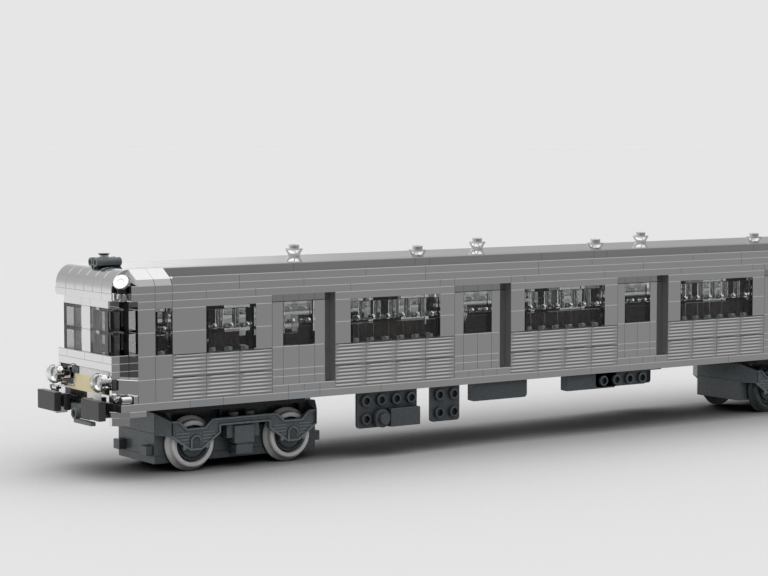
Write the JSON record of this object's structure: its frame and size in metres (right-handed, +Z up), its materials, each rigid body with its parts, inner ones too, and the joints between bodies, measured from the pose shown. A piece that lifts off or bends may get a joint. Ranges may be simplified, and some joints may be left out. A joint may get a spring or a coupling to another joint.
{
  "type": "toy suburban rail car",
  "caption": "Brick-built toy suburban rail car in chrome silver with ribbed sides, glazed windows, recessed doors, a rounded cab end and two swivelling bogies.",
  "frame": {"origin": "middle of the car on the surface its wheels stand on", "axes": "+X along the car from the shown cab to the other end, +Y across the car away from the shown side, +Z up"},
  "size_m": [0.48, 0.0708, 0.092],
  "materials": {
    "silver": "metallised silver plastic, bright and mirror-like",
    "clear": "clear moulded plastic",
    "tan": "tan moulded plastic, smooth",
    "black_plastic": "near-black moulded plastic, smooth",
    "brown_plastic": "reddish brown moulded plastic",
    "dark_grey": "dark bluish grey moulded plastic, smooth",
    "light_grey": "light grey moulded plastic"
  },
  "bodies": {
    "car": {"bench_seats": "brown_plastic", "buffers": "black_plastic", "bulkheads": "brown_plastic", "cab_aprons": "silver", "cab_headers": "silver", "cab_pillars": "silver", "cab_roof_curves": "silver", "clear_bricks_high_far": "clear", "clear_bricks_high_near": "clear", "clear_bricks_low_far": "clear", "clear_bricks_low_near": "clear", "corner_clips": "silver", "corner_discs": "silver", "corner_panels": "silver", "corner_posts": "silver", "corner_slopes": "silver", "couplers": "dark_grey", "door_leaves_far": "silver", "door_leaves_near": "silver", "door_steps_far": "silver", "door_steps_near": "silver", "end_bars": "silver", "end_beams": "black_plastic", "end_skirts": "silver", "horns": "dark_grey", "lamp_bodies": "silver", "lamp_lenses": "clear", "nose_blocks": "tan", "pivot_pins": "dark_grey", "ribbed_bricks_far": "silver", "ribbed_bricks_near": "silver", "roof_deck": "silver", "roof_vents": "silver", "sill_plate": "silver", "smooth_boxes_far": "dark_grey", "smooth_boxes_near": "dark_grey", "studded_boxes_far": "dark_grey", "studded_boxes_near": "dark_grey", "tank_blocks_far": "dark_grey", "tank_blocks_near": "dark_grey", "top_courses_far": "silver", "top_courses_near": "silver", "window_piers_far": "silver", "window_piers_near": "silver", "windscreens_high": "clear", "windscreens_low": "clear"},
    "bogie_front": {"bogie_block_front": "dark_grey", "bogie_deck_front": "dark_grey", "side_frames_front": "dark_grey"},
    "bogie_rear": {"bogie_block_rear": "dark_grey", "bogie_deck_rear": "dark_grey", "side_frames_rear": "dark_grey"},
    "axle_front_outer": {"wheelset_front_outer": "light_grey"},
    "axle_front_inner": {"wheelset_front_inner": "light_grey"},
    "axle_rear_outer": {"wheelset_rear_outer": "dark_grey"},
    "axle_rear_inner": {"wheelset_rear_inner": "dark_grey"}
  },
  "joints": [
    {"name": "bogie_front_swivel", "type": "hinge", "parent": "car", "child": "bogie_front", "pos_m": [-0.168, 0, 0.025], "axis": [0, 0, 1], "range_deg": [-15, 15]},
    {"name": "axle_front_outer_spin", "type": "hinge", "parent": "bogie_front", "child": "axle_front_outer", "pos_m": [-0.192, 0, 0.0117], "axis": [0, 1, 0], "continuous": true},
    {"name": "axle_front_inner_spin", "type": "hinge", "parent": "bogie_front", "child": "axle_front_inner", "pos_m": [-0.144, 0, 0.0117], "axis": [0, 1, 0], "continuous": true},
    {"name": "bogie_rear_swivel", "type": "hinge", "parent": "car", "child": "bogie_rear", "pos_m": [0.168, 0, 0.025], "axis": [0, 0, 1], "range_deg": [-15, 15]},
    {"name": "axle_rear_outer_spin", "type": "hinge", "parent": "bogie_rear", "child": "axle_rear_outer", "pos_m": [0.192, 0, 0.0117], "axis": [0, 1, 0], "continuous": true},
    {"name": "axle_rear_inner_spin", "type": "hinge", "parent": "bogie_rear", "child": "axle_rear_inner", "pos_m": [0.144, 0, 0.0117], "axis": [0, 1, 0], "continuous": true}
  ]
}
